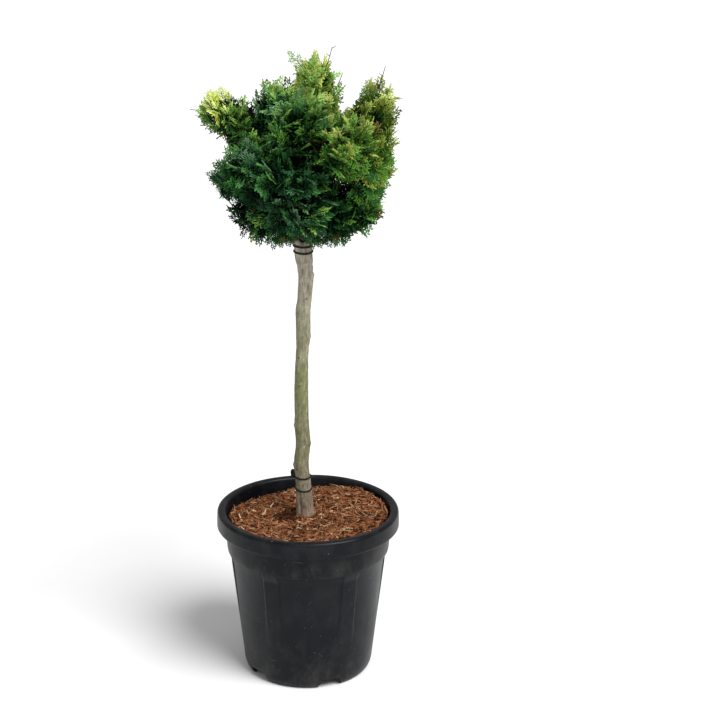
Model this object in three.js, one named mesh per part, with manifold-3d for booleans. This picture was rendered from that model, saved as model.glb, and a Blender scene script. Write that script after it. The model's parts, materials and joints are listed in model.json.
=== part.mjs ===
// A dwarf cypress grafted as a standard: a loose, many-peaked head of foliage on a bare stem,
// growing in a round nursery pot. Millimetres, +Z up, origin at the middle of the pot's underside.
// The front of the plant faces -Y.
import * as THREE from 'three';
import { mergeVertices } from 'three/addons/utils/BufferGeometryUtils.js';
import Module from 'manifold-3d';

const wasm = await Module();
wasm.setup();

// ---------- driving dimensions ----------
const GAP = 0.3; // clear space left between two pieces that touch

const POT_HEIGHT = 290;
const RIM_RADIUS = 157; // outside of the rolled rim
const RIM_BAND = 28; // height of the rim's outer band
const RIM_WIDTH = 16; // from the rim's outside to its inner edge
const NECK_RADIUS = 140; // wall just under the rim
const SHOULDER_HEIGHT = 204; // where the neck has stepped in to the body
const SHOULDER_RADIUS = 132.5;
const FOOT_RADIUS = 111.5; // wall at the top of the feet
const FOOT_HEIGHT = 15;
const FOOT_TUCK = 7.5; // how far the feet round in towards the ground
const WALL = 3;
const PLATE_UNDERSIDE = 11; // the pot's floor is held off the ground by its feet
const PAD_RADIUS = 32; // round pad in the middle of the floor, level with the feet
const PANELS = 6; // shallow upright panels pressed into the wall
const PANEL_DEPTH = 3;
const PANEL_SHARE = 0.75; // part of each sixth of the wall that is panel
const PANEL_FOOT = 58; // height where a panel has faded out
const PANEL_TOP = 218; // a ledge on the slope of the neck
const PANEL_TURN = 3.5; // degrees from the front to the middle of the first panel
const NOTCHES = 5; // drainage notches between the feet
const NOTCH_TURN = 22; // degrees from the front to the first notch
const NOTCH_FOOT_WIDTH = 41;
const NOTCH_TOP_WIDTH = 26;
const POT_SIDES = 48;
const LEDGE = 2.5; // height of the slope at a panel's upper end
const NECK_SLOPE = 20; // height over which the wall steps out from the body to the neck

const SOIL_HEIGHT = 277; // surface of the bark mulch at the stem
const SOIL_RISE = 5; // it rises this far from the stem to the wall
const SOIL_HOLLOW = 18; // and dips this far at the back on the left
const SOIL_FLAT = 26; // level ground round the stem
const SOIL_SHRINKAGE = 1.7; // the growing medium has dried this far away from the wall
const HOLLOW_TURN = 128; // degrees round from +X to the middle of the dip

const STEM_TOP = 762;
const STEM_RADIUS = 11.6; // half way up
const STEM_SIDES = 11;
const STEM_SPACING = 40; // between rings where the stem is plain
const STEM_SHOULDER = 7; // height over which its top is rounded in
const KNOT_REACH = 6;
const KNOT_SPREAD = 0.55; // half-width of a knot round the stem, in radians
const TIE_THICKNESS = 2.6;
const KNOT_HEIGHT = 15; // of the upright loop beside the lower ties
const KNOT_WIDTH = 9;
const KNOT_THICKNESS = 3.4;
const KNOT_CLEAR = 1.6; // from the stem to the loop, past the swelling of the knot beside it
const TIE_HEIGHTS = { tie_low: 327, tie_foot: 348, tie_graft: 744.5, tie_top: 754 };

const HEART = new THREE.Vector3(-10, 0, 900); // middle of the crown
const UNEVENNESS = 0.08; // lumps on a mass, as a part of its size
const MASS_DETAIL = 2;
const FAR = 600; // larger than the whole crown
const CLEARING_RADIUS = 27; // bare space round the fork, under the crown
const CLEARING_TOP = 806;
const FORK_HEIGHT = 752; // where the boughs leave the graft

const COLOURS = {
  pot: 0x24272b,
  mulch: 0x7d4a2c,
  bark: 0x8b8372,
  tie: 0x141416,
  shade_green: 0x1f4d1c,
  mid_green: 0x3a7a22,
  lime: 0x93b02c,
  olive: 0x6f8a28,
};

// ---------- helpers ----------
const rad = THREE.MathUtils.degToRad;
const lerp = THREE.MathUtils.lerp;
const smooth = THREE.MathUtils.smoothstep;
const SIDEWAYS = new THREE.Vector3(0, 1, 0);
const UPWARDS = new THREE.Vector3(0, 0, 1);
const group = new THREE.Group();

function addMesh(name, geometry, colour, roughness) {
  const material = new THREE.MeshStandardMaterial({ color: colour, roughness, metalness: 0 });
  const mesh = new THREE.Mesh(geometry, material);
  mesh.name = name;
  group.add(mesh);
  return mesh;
}

function toSolid(geometry) {
  const plain = geometry.clone();
  plain.deleteAttribute('normal');
  plain.deleteAttribute('uv');
  const merged = mergeVertices(plain, 1e-3);
  return new wasm.Manifold(
    new wasm.Mesh({
      numProp: 3,
      vertProperties: new Float32Array(merged.attributes.position.array),
      triVerts: new Uint32Array(merged.index.array),
    }),
  );
}

function toGeometry(solid) {
  const { vertProperties, triVerts } = solid.getMesh();
  const geometry = new THREE.BufferGeometry();
  geometry.setAttribute('position', new THREE.BufferAttribute(new Float32Array(vertProperties), 3));
  geometry.setIndex(new THREE.BufferAttribute(new Uint32Array(triVerts), 1));
  return geometry;
}

// Moves every vertex of a geometry to reshape(vertex).
function reshape(geometry, move) {
  const positions = geometry.attributes.position;
  const v = new THREE.Vector3();
  for (let i = 0; i < positions.count; i++) {
    move(v.fromBufferAttribute(positions, i));
    positions.setXYZ(i, v.x, v.y, v.z);
  }
  return geometry;
}

// A solid of revolution about Z from [radius, height] pairs.
function turned(profile, sides) {
  const points = profile.map(([r, z]) => new THREE.Vector2(r, z));
  return new THREE.LatheGeometry(points, sides).rotateX(Math.PI / 2);
}

// Unevenness in the range -1 to 1, smooth over the directions of a unit vector.
function lumps(d, seed) {
  const a = Math.sin(3.1 * d.x + 1.7 * d.z + seed * 1.3);
  const b = Math.sin(4.3 * d.y - 2.6 * d.x + seed * 2.1);
  const c = Math.sin(5.2 * d.z + 2.9 * d.y + seed * 0.7);
  return (a + b + c) / 3;
}

// ---------- pot ----------
const bodyRadius = (z) =>
  FOOT_RADIUS + ((SHOULDER_RADIUS - FOOT_RADIUS) * (z - FOOT_HEIGHT)) / (SHOULDER_HEIGHT - FOOT_HEIGHT);

const wallRadius = (z) =>
  z < SHOULDER_HEIGHT
    ? bodyRadius(z)
    : lerp(SHOULDER_RADIUS, NECK_RADIUS, smooth(z, SHOULDER_HEIGHT, SHOULDER_HEIGHT + NECK_SLOPE));

// How far the wall is pressed in at a place on it. A panel carries on the body's taper up to its ledge.
function panelDepth(x, y, z) {
  const turn = THREE.MathUtils.radToDeg(Math.atan2(x, -y)) - PANEL_TURN;
  const pitch = 360 / PANELS;
  const fromMiddle = Math.abs(turn - pitch * Math.round(turn / pitch));
  if (fromMiddle > (pitch * PANEL_SHARE) / 2 + 0.1) return 0;
  if (z > PANEL_TOP - 0.1) return 0;
  const slope = Math.max(0, wallRadius(z) - bodyRadius(z));
  return slope + PANEL_DEPTH * smooth(z, PANEL_FOOT, PANEL_TOP - 30);
}

function pressPanels(geometry) {
  return reshape(geometry, (v) => {
    const r = Math.hypot(v.x, v.y);
    if (r < FOOT_RADIUS - 2 * WALL) return;
    const k = (r - panelDepth(v.x, v.y, v.z)) / r;
    v.x *= k;
    v.y *= k;
  });
}

const wallHeights = [FOOT_HEIGHT, PANEL_FOOT, SHOULDER_HEIGHT, PANEL_TOP - LEDGE];
const neckHeights = [PANEL_TOP, POT_HEIGHT - RIM_BAND];

function potProfile() {
  const rimTop = POT_HEIGHT;
  const inner = RIM_RADIUS - RIM_WIDTH;
  const outside = [...wallHeights, ...neckHeights].map((z) => [wallRadius(z), z]);
  const inside = [...wallHeights, ...neckHeights].map((z) => [wallRadius(z) - WALL, z]).reverse();
  const floor = PLATE_UNDERSIDE + WALL;
  return [
    [0, 0],
    [PAD_RADIUS, 0],
    [PAD_RADIUS + 3, PLATE_UNDERSIDE],
    [FOOT_RADIUS - FOOT_TUCK - 6, PLATE_UNDERSIDE],
    [FOOT_RADIUS - FOOT_TUCK - 5, 0],
    [FOOT_RADIUS - FOOT_TUCK, 0],
    [FOOT_RADIUS - 2.2, 6],
    ...outside,
    [RIM_RADIUS, POT_HEIGHT - RIM_BAND],
    [RIM_RADIUS - 0.6, rimTop - 8],
    [RIM_RADIUS - 4, rimTop],
    [inner + 3.5, rimTop],
    [inner, rimTop - 3],
    ...inside,
    [FOOT_RADIUS - WALL, floor],
    [0, floor],
  ];
}

// A wedge that cuts one drainage notch through the ring of feet.
function notchCutter(turn) {
  const outline = new THREE.Shape([
    new THREE.Vector2(-NOTCH_FOOT_WIDTH / 2, -5),
    new THREE.Vector2(NOTCH_FOOT_WIDTH / 2, -5),
    new THREE.Vector2(NOTCH_TOP_WIDTH / 2, FOOT_HEIGHT),
    new THREE.Vector2(-NOTCH_TOP_WIDTH / 2, FOOT_HEIGHT),
  ]);
  const reach = 40; // from inside the ring of feet to well outside it
  return new THREE.ExtrudeGeometry(outline, { depth: reach, bevelEnabled: false })
    .rotateX(Math.PI / 2)
    .translate(0, reach * 0.7 - FOOT_RADIUS, 0)
    .rotateZ(rad(turn));
}

function buildPot() {
  let pot = toSolid(pressPanels(turned(potProfile(), POT_SIDES).rotateZ(rad(PANEL_TURN))));
  const floor = turned(
    [[0, PLATE_UNDERSIDE], [FOOT_RADIUS - WALL - 1, PLATE_UNDERSIDE],
      [FOOT_RADIUS - WALL - 1, PLATE_UNDERSIDE + WALL], [0, PLATE_UNDERSIDE + WALL]],
    POT_SIDES,
  );
  for (let i = 0; i < NOTCHES; i++) {
    pot = pot.subtract(toSolid(notchCutter(NOTCH_TURN + (i * 360) / NOTCHES)));
  }
  addMesh('pot', toGeometry(pot.add(toSolid(floor))), COLOURS.pot, 0.5);
}

// ---------- mulch over the growing medium ----------
function soilSurface(x, y) {
  const away = smooth(Math.hypot(x, y), SOIL_FLAT, NECK_RADIUS - WALL);
  const backLeft = Math.max(0, Math.cos(Math.atan2(y, x) - rad(HOLLOW_TURN)));
  const ripple = 1.5 * Math.sin(x / 23 + 1) * Math.cos(y / 31);
  return SOIL_HEIGHT + away * (ripple + SOIL_RISE - SOIL_HOLLOW * backLeft ** 2);
}

function buildGrowingMedium() {
  const bottom = PLATE_UNDERSIDE + WALL + GAP;
  // It keeps the body's taper up past the panels' ledges, and widens with the neck above them.
  const fit = (z) => (z > PANEL_TOP ? wallRadius(z) : bodyRadius(z)) - WALL - SOIL_SHRINKAGE;
  const topRadius = fit(POT_HEIGHT - RIM_BAND);
  const rings = [topRadius - 4, 84, SOIL_FLAT];
  const profile = [
    [0, bottom],
    [fit(FOOT_HEIGHT), bottom],
    ...[...wallHeights.slice(1), ...neckHeights].map((z) => [fit(z), z]),
    ...rings.map((r) => [r, SOIL_HEIGHT]),
    [0, SOIL_HEIGHT],
  ];
  const geometry = pressPanels(turned(profile, POT_SIDES).rotateZ(rad(PANEL_TURN)));
  reshape(geometry, (v) => {
    if (v.z > SOIL_HEIGHT - 1) v.z = soilSurface(v.x, v.y);
    else if (v.z > POT_HEIGHT - RIM_BAND - 1) v.z = Math.min(v.z, soilSurface(v.x, v.y) - 2);
  });
  addMesh('growing_medium', geometry, COLOURS.mulch, 0.95);
}

// ---------- stem ----------
// The stem's middle line sways a few millimetres from side to side on its way up.
const stemPath = new THREE.CatmullRomCurve3(
  [[-4.5, 0, 0], [-7.5, 0, 50], [-11.3, 1, 92], [-9.2, 1, 128], [-11.4, 0, 205], [-10.6, 0, 268],
    [-8, 1, 328], [-8.2, 1, 360], [-3.4, 0, 420], [-6.2, 0, 448], [-8.6, 0, STEM_TOP - SOIL_HEIGHT]]
    .map(([x, y, up]) => new THREE.Vector3(x, y, SOIL_HEIGHT + up)),
);

// Pruning knots and dents: height above the soil, degrees round from the front, how far each stands out.
const KNOTS = [
  { up: 92, turn: -88, out: 3 },
  { up: 131, turn: 90, out: 2.7 },
  { up: 163, turn: -88, out: 3.1 },
  { up: 186, turn: 52, out: 1 },
  { up: 237, turn: -14, out: 0.8 },
  { up: 286, turn: -30, out: 0.8 },
  { up: 321, turn: 90, out: 2.1 },
  { up: 368, turn: -88, out: 0.6 },
  { up: 384, turn: -88, out: -1 },
  { up: 428, turn: 90, out: 2.8 },
];

function stemRadius(z, angle) {
  const up = z - SOIL_HEIGHT;
  const flare = 3.9 * Math.exp(-up / 60); // widens to the roots
  const waist = -1.2 * Math.exp(-(((up - 290) / 32) ** 2));
  const upper = 0.7 * smooth(up, 295, 330); // the upper third is a little stouter
  const graft = 2.6 * smooth(up, 432, 466);
  let r = STEM_RADIUS + flare + waist + upper + graft;
  r -= 3 * smooth(up, STEM_TOP - SOIL_HEIGHT - STEM_SHOULDER, STEM_TOP - SOIL_HEIGHT);
  for (const knot of KNOTS) {
    const turn = Math.atan2(Math.sin(angle - rad(knot.turn)), Math.cos(angle - rad(knot.turn)));
    r += knot.out * Math.exp(-(((up - knot.up) / KNOT_REACH) ** 2) - (turn / KNOT_SPREAD) ** 2);
  }
  return r;
}

function stemCentre(z) {
  let low = 0;
  let high = 1;
  for (let i = 0; i < 24; i++) {
    const t = (low + high) / 2;
    if (stemPath.getPoint(t).z < z) low = t;
    else high = t;
  }
  return stemPath.getPoint(low);
}

// Heights of the stem's rings above the soil: at each knot, above and below the large ones, and between.
function stemRings() {
  const top = STEM_TOP - SOIL_HEIGHT;
  const rings = [GAP, top - STEM_SHOULDER, top];
  for (const knot of KNOTS) {
    rings.push(knot.up);
    if (knot.out > 1.5) rings.push(knot.up - KNOT_REACH, knot.up + KNOT_REACH);
  }
  for (let up = STEM_SPACING / 2; up < top; up += STEM_SPACING) {
    if (rings.every((ring) => Math.abs(ring - up) > STEM_SPACING / 3)) rings.push(up);
  }
  return rings.sort((a, b) => a - b);
}

// The stem, or with a margin the room that its neighbours leave for it.
function stemGeometry(margin = 0) {
  const rings = stemRings();
  const steps = rings.length - 1;
  const geometry = new THREE.CylinderGeometry(1, 1, steps, STEM_SIDES, steps).rotateX(Math.PI / 2);
  return reshape(geometry, (v) => {
    const z = SOIL_HEIGHT + rings[Math.round(v.z + steps / 2)];
    const centre = stemCentre(z);
    const r = (stemRadius(z, Math.atan2(v.x, -v.y)) + margin) * Math.hypot(v.x, v.y);
    const angle = Math.atan2(v.y, v.x);
    const end = z > STEM_TOP - 0.01 ? margin : 0;
    v.set(centre.x + r * Math.cos(angle), centre.y + r * Math.sin(angle), z + end);
  });
}

// A thin band drawn tight round the stem.
function tieGeometry(z) {
  const tube = TIE_THICKNESS / 2;
  const guide = 100; // radius of the ring before it is drawn in to the stem
  const geometry = new THREE.TorusGeometry(guide, tube, 4, 12);
  return reshape(geometry, (v) => {
    const angle = Math.atan2(v.y, v.x);
    const out = Math.hypot(v.x, v.y) - guide;
    const centre = stemCentre(z);
    const clear = 1.2 * GAP + 0.35; // the stem's flat facets stay inside its round section
    const r = stemRadius(z + v.z, Math.atan2(v.x, -v.y)) + clear + tube + out;
    v.set(centre.x + r * Math.cos(angle), centre.y + r * Math.sin(angle), z + v.z);
  });
}

function buildTieKnot() {
  const z = TIE_HEIGHTS.tie_foot + TIE_THICKNESS / 2 + GAP + KNOT_HEIGHT / 2;
  const centre = stemCentre(z);
  const loop = new THREE.TorusGeometry((KNOT_HEIGHT - KNOT_THICKNESS) / 2, KNOT_THICKNESS / 2, 5, 10);
  const out = stemRadius(z, rad(-90)) + KNOT_WIDTH / 2 + KNOT_CLEAR;
  loop.rotateX(Math.PI / 2).scale(KNOT_WIDTH / KNOT_HEIGHT, 1, 1);
  loop.rotateZ(rad(12)).translate(centre.x - out, centre.y - 2, z);
  addMesh('tie_knot', loop, COLOURS.tie, 0.5);
}

// ---------- boughs ----------
// Each bough leaves the graft, bends upwards and ends where it enters a mass of foliage.
const BOUGHS = [
  { name: 'bough_leader', turn: 100, rise: 82, length: 84, base: 6.4 },
  { name: 'bough_left', turn: 186, rise: 40, length: 62, base: 5.6 },
  { name: 'bough_right', turn: -8, rise: 42, length: 64, base: 5.6 },
  { name: 'bough_front_left', turn: 238, rise: 46, length: 60, base: 4.8 },
  { name: 'bough_front_right', turn: 302, rise: 44, length: 60, base: 4.8 },
  { name: 'bough_back_left', turn: 138, rise: 46, length: 60, base: 4.8 },
  { name: 'bough_back_right', turn: 50, rise: 48, length: 60, base: 4.8 },
];

function boughGeometry({ turn, rise, length, base }, margin = 0) {
  const start = stemCentre(FORK_HEIGHT);
  const out = new THREE.Vector3(Math.cos(rad(turn)), Math.sin(rad(turn)), 0);
  const at = (along, lift) => start.clone().addScaledVector(out, along).addScaledVector(UPWARDS, lift);
  const flat = length * Math.cos(rad(rise));
  const high = length * Math.sin(rad(rise));
  const curve = new THREE.QuadraticBezierCurve3(at(0, 0), at(flat * 0.6, high * 0.35), at(flat, high));
  const sides = 6;
  const steps = 3;
  const frames = curve.computeFrenetFrames(steps, false);
  const geometry = new THREE.CylinderGeometry(1, 1, 1, sides, steps);
  return reshape(geometry, (v) => {
    const k = Math.round((v.y + 0.5) * steps);
    const t = k / steps;
    const centre = curve.getPoint(t);
    if (k === steps) centre.addScaledVector(curve.getTangent(1), margin);
    const r = lerp(base, base * 0.62, t) + margin;
    const side = frames.normals[k].clone().multiplyScalar(v.x * r);
    const other = frames.binormals[k].clone().multiplyScalar(-v.z * r);
    v.copy(centre).add(side).add(other);
  });
}

// ---------- masses of foliage ----------
// Each mass sits `ring` from the crown's heart at a turn about Z, and `rise` above it. Its half sizes are
// measured outwards (deep), round the crown (across) and upwards (high), before it leans outwards and up.
// A tip [turn, rise, share] draws it out to one side.
const MASSES = [
  { name: 'low_left', turn: 182, ring: 58, rise: -75, deep: 65, across: 60, high: 64 },
  { name: 'low_front', turn: 266, ring: 60, rise: -66, deep: 58, across: 62, high: 56 },
  { name: 'low_right', turn: -4, ring: 69, rise: -75, deep: 62, across: 60, high: 64 },
  { name: 'low_back', turn: 92, ring: 60, rise: -74, deep: 60, across: 62, high: 62 },
  { name: 'left_shoulder', turn: 184, ring: 88, rise: -38, deep: 51, across: 54, high: 38, tip: [186, 24, 0.3] },
  { name: 'front_left', turn: 226, ring: 104, rise: -6, deep: 50, across: 56, high: 56 },
  { name: 'front_mid', turn: 268, ring: 92, rise: 2, deep: 50, across: 58, high: 60 },
  { name: 'front_right', turn: 310, ring: 104, rise: 32, deep: 50, across: 56, high: 54, colour: 'olive' },
  { name: 'right_flank', turn: 0, ring: 99, rise: 22, deep: 58, across: 60, high: 68, colour: 'olive' },
  { name: 'back_right', turn: 52, ring: 104, rise: 2, deep: 54, across: 60, high: 62 },
  { name: 'back_left', turn: 132, ring: 102, rise: 0, deep: 54, across: 62, high: 60 },
  { name: 'front_high', turn: 275, ring: 54, rise: 66, deep: 50, across: 56, high: 52 },
  { name: 'back_high', turn: 92, ring: 58, rise: 56, deep: 52, across: 60, high: 52 },
  { name: 'left_horn', turn: 184, ring: 96, rise: 56, deep: 64, across: 48, high: 38, lean: 30, tip: [184, 44, 0.3],
    colour: 'lime' },
  { name: 'centre_shoulder', turn: 172, ring: 34, rise: 76, deep: 50, across: 52, high: 48 },
  { name: 'centre_peak', turn: 14, ring: 28, rise: 98, deep: 40, across: 46, high: 64, tip: [180, 84, 0.14],
    colour: 'lime' },
  { name: 'right_horn', turn: 0, ring: 124, rise: 80, deep: 29, across: 42, high: 46, tip: [160, 84, 0.1],
    colour: 'olive' },
  { name: 'heart', turn: 0, ring: 0, rise: 0, deep: 58, across: 58, high: 74, colour: 'shade_green' },
];

function direction(turn, rise) {
  const flat = Math.cos(rad(rise));
  return new THREE.Vector3(flat * Math.cos(rad(turn)), flat * Math.sin(rad(turn)), Math.sin(rad(rise)));
}

const massCentre = ({ turn, ring, rise }) =>
  direction(turn, 0).multiplyScalar(ring).add(HEART).add(new THREE.Vector3(0, 0, rise));

function massGeometry(mass, seed) {
  const centre = massCentre(mass);
  const tip = mass.tip && direction(mass.tip[0], mass.tip[1]);
  const geometry = new THREE.IcosahedronGeometry(1, MASS_DETAIL);
  return reshape(geometry, (v) => {
    const d = v.clone().applyAxisAngle(SIDEWAYS, -rad(mass.lean ?? 0)).applyAxisAngle(UPWARDS, rad(mass.turn));
    let k = 1 + UNEVENNESS * lumps(d, seed);
    if (tip) k += mass.tip[2] * Math.max(0, d.dot(tip)) ** 5;
    v.multiply(new THREE.Vector3(mass.deep, mass.across, mass.high)).multiplyScalar(k);
    v.applyAxisAngle(SIDEWAYS, -rad(mass.lean ?? 0)).applyAxisAngle(UPWARDS, rad(mass.turn)).add(centre);
  });
}

// A large block on the far side of the flat face where mass a gives way to mass b.
function blockBeyond(a, b) {
  const from = massCentre(a);
  const to = massCentre(b);
  const apart = from.distanceTo(to);
  const size = (m) => ((m.deep + m.across + m.high) / 3) ** 2;
  const share = 0.5 + (size(a) - size(b)) / (2 * apart * apart);
  const normal = to.clone().sub(from).normalize();
  const block = new THREE.BoxGeometry(FAR, FAR, FAR).translate(0, 0, FAR / 2);
  block.applyQuaternion(new THREE.Quaternion().setFromUnitVectors(UPWARDS, normal));
  const face = from.addScaledVector(normal, apart * share - GAP);
  return block.translate(face.x, face.y, face.z);
}

function clearingGeometry() {
  const foot = STEM_TOP - 2 * CLEARING_RADIUS;
  const centre = stemCentre(FORK_HEIGHT);
  const profile = [
    [0, foot],
    [CLEARING_RADIUS, foot],
    [CLEARING_RADIUS, lerp(FORK_HEIGHT, CLEARING_TOP, 0.25)],
    [CLEARING_RADIUS * 0.7, lerp(FORK_HEIGHT, CLEARING_TOP, 0.7)],
    [0, CLEARING_TOP],
  ];
  return turned(profile, 12).translate(centre.x, centre.y, 0);
}

function buildMasses() {
  const room = BOUGHS.map((bough) => toSolid(boughGeometry(bough, GAP)))
    .concat(toSolid(stemGeometry(GAP)), toSolid(clearingGeometry()))
    .reduce((all, solid) => all.add(solid));
  MASSES.forEach((mass, seed) => {
    let solid = toSolid(massGeometry(mass, seed + 1));
    for (const other of MASSES) {
      if (other !== mass) solid = solid.subtract(toSolid(blockBeyond(mass, other)));
    }
    solid = solid.subtract(room);
    addMesh(`foliage_${mass.name}`, toGeometry(solid), COLOURS[mass.colour ?? 'mid_green'], 0.8);
  });
}

// ---------- assembly ----------
buildPot();
buildGrowingMedium();
addMesh('trunk', stemGeometry(), COLOURS.bark, 0.85);
for (const [name, z] of Object.entries(TIE_HEIGHTS)) addMesh(name, tieGeometry(z), COLOURS.tie, 0.5);
buildTieKnot();

// A bough starts inside the stem's head, so that head and the boughs before it are cut away from it.
let taken = toSolid(stemGeometry(GAP));
for (const bough of BOUGHS) {
  addMesh(bough.name, toGeometry(toSolid(boughGeometry(bough)).subtract(taken)), COLOURS.bark, 0.85);
  taken = taken.add(toSolid(boughGeometry(bough, GAP)));
}
buildMasses();

export default group;
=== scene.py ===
import json
import math
from collections import namedtuple

import bpy
import numpy as np
from mathutils import Matrix, Vector
from mathutils.bvhtree import BVHTree


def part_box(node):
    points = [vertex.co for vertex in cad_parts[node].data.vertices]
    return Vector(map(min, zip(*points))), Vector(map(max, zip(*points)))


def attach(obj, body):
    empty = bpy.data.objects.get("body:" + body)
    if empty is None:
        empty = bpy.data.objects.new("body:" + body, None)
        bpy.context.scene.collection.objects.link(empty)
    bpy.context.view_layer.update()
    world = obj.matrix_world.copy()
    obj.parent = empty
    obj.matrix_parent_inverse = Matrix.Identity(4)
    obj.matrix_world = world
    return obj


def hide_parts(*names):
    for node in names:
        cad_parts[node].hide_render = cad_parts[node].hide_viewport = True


# A dwarf cypress grafted as a standard, in a nursery pot: its bark, foliage, mulch, pot and ties.
# Metres, +Z up, the front of the plant faces -Y.

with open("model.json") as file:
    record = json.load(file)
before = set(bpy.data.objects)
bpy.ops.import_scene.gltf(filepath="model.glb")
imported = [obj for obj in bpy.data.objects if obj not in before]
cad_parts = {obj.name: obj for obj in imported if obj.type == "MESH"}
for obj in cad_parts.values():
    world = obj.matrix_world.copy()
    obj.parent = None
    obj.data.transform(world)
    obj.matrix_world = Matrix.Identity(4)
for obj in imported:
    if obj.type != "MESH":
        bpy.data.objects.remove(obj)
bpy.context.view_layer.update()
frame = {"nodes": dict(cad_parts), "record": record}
BODY = "root"
rng = np.random.default_rng(41)

# ---------- sizes ----------
MM = 0.001
FAN_LENGTH = 30 * MM  # one flat spray of scale-covered shoots
SHOOT_WIDTH = 0.092  # of a shoot, as a part of its fan's length
FAN_KINDS = 12
SPRIG_LENGTH = 50 * MM  # a twig with fans left and right
SPRIG_SPACING = 18.2 * MM
INNER_MARGIN = 5 * MM  # between an inner fan's tip and the outline
MOST_PROUD = 5 * MM  # how far a fan's tip may pass the masses' outline
LEAST_OUTWARD = 0.5  # a sprig's direction keeps this much of the way straight out of the crown
FANS_ON_SPRIG = 8
INNER_FANS = 420
CLEAR = 40 * MM  # how far the free sprigs' tips may pass it
RECESS = 27 * MM  # dark room left open round the graft
TWIG_POINTS = 4
TWIG = (1.1 * MM, 0.85 * MM)  # radii at the foot and the tip of a twig, and so on below
LINK = (1.1 * MM, 0.8 * MM)
STALK = (0.9 * MM, 0.45 * MM)
FREE_STALK = (0.8 * MM, 0.4 * MM)
BARE_TWIG = (0.9 * MM, 0.5 * MM)
STUB = (0.6 * MM, 0.4 * MM)
BRANCH_POINTS = 8
BRANCH = (3.1 * MM, 1.7 * MM)
SMALL_BRANCH = (1.6 * MM, 1.1 * MM)
BRANCH_NODES = (3, 5, 6, 7)  # points of a branch where smaller branches leave it
MOST_FACES = 190000  # triangles in one piece
TRUNK_SIDES = 64
TRUNK_RINGS = 300
STEM_RADIUS = 12.5 * MM
POT_SIDES = 288
CHIPS = 7600

MASSES = sorted(n for n in frame["nodes"] if n.startswith("foliage_"))
BOUGHS = sorted(n for n in frame["nodes"] if n.startswith("bough_"))
SLOT_OF = {part["node"]: part["material_slot"] for part in frame["record"]["subparts"]}
POT_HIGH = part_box("pot")[1]
SOIL_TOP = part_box("trunk")[0].z
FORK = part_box("trunk")[1].z
CROWN_LOW = Vector([min(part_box(n)[0][i] for n in MASSES) for i in range(3)])
CROWN_HIGH = Vector([max(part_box(n)[1][i] for n in MASSES) for i in range(3)])
HEART = np.array(sum((sum(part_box(n), Vector()) / 2 for n in MASSES), Vector()) / len(MASSES))


# ---------- arrays ----------
def unit(v):
    return v / np.maximum(np.linalg.norm(v, axis=-1, keepdims=True), 1e-12)


def smooth(x, low, high):
    t = np.clip((x - low) / (high - low), 0, 1)
    return t * t * (3 - 2 * t)


def lattice_noise(u, v, cells_u, cells_v, seed):
    """Smooth noise from -1 to 1 over u, which wraps round at 1, and v from 0 to 1."""
    table = np.random.default_rng(seed).uniform(-1, 1, (cells_u, cells_v + 2))
    x = (u % 1.0) * cells_u
    y = np.clip(v, 0, 0.9999) * cells_v
    i, j = np.floor(x).astype(int), np.floor(y).astype(int)
    fx, fy = smooth(x - i, 0, 1), smooth(y - j, 0, 1)
    i2 = (i + 1) % cells_u
    low = table[i % cells_u, j] * (1 - fx) + table[i2, j] * fx
    high = table[i % cells_u, j + 1] * (1 - fx) + table[i2, j + 1] * fx
    return low * (1 - fy) + high * fy


def vertices_of(node):
    mesh = frame["nodes"][node].data
    co = np.empty(len(mesh.vertices) * 3, np.float32)
    mesh.vertices.foreach_get("co", co)
    return co.reshape(-1, 3).astype(float)


def triangles_of(node):
    mesh = frame["nodes"][node].data
    mesh.calc_loop_triangles()
    tri = np.empty(len(mesh.loop_triangles) * 3, np.int32)
    mesh.loop_triangles.foreach_get("vertices", tri)
    return tri.reshape(-1, 3)


def tree_of(nodes):
    """A search tree over the surfaces of some nodes."""
    verts, faces, count = [], [], 0
    for node in nodes:
        verts.append(vertices_of(node))
        faces.append(triangles_of(node) + count)
        count += len(verts[-1])
    return BVHTree.FromPolygons(np.concatenate(verts).tolist(), np.concatenate(faces).tolist())


# ---------- materials ----------
def colour(red, green, blue):
    """The linear colour of a screen colour, each part from 0 to 255."""
    parts = [c / 255 for c in (red, green, blue)]
    return [c / 12.92 if c < 0.04045 else ((c + 0.055) / 1.055) ** 2.4 for c in parts] + [1.0]


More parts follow.
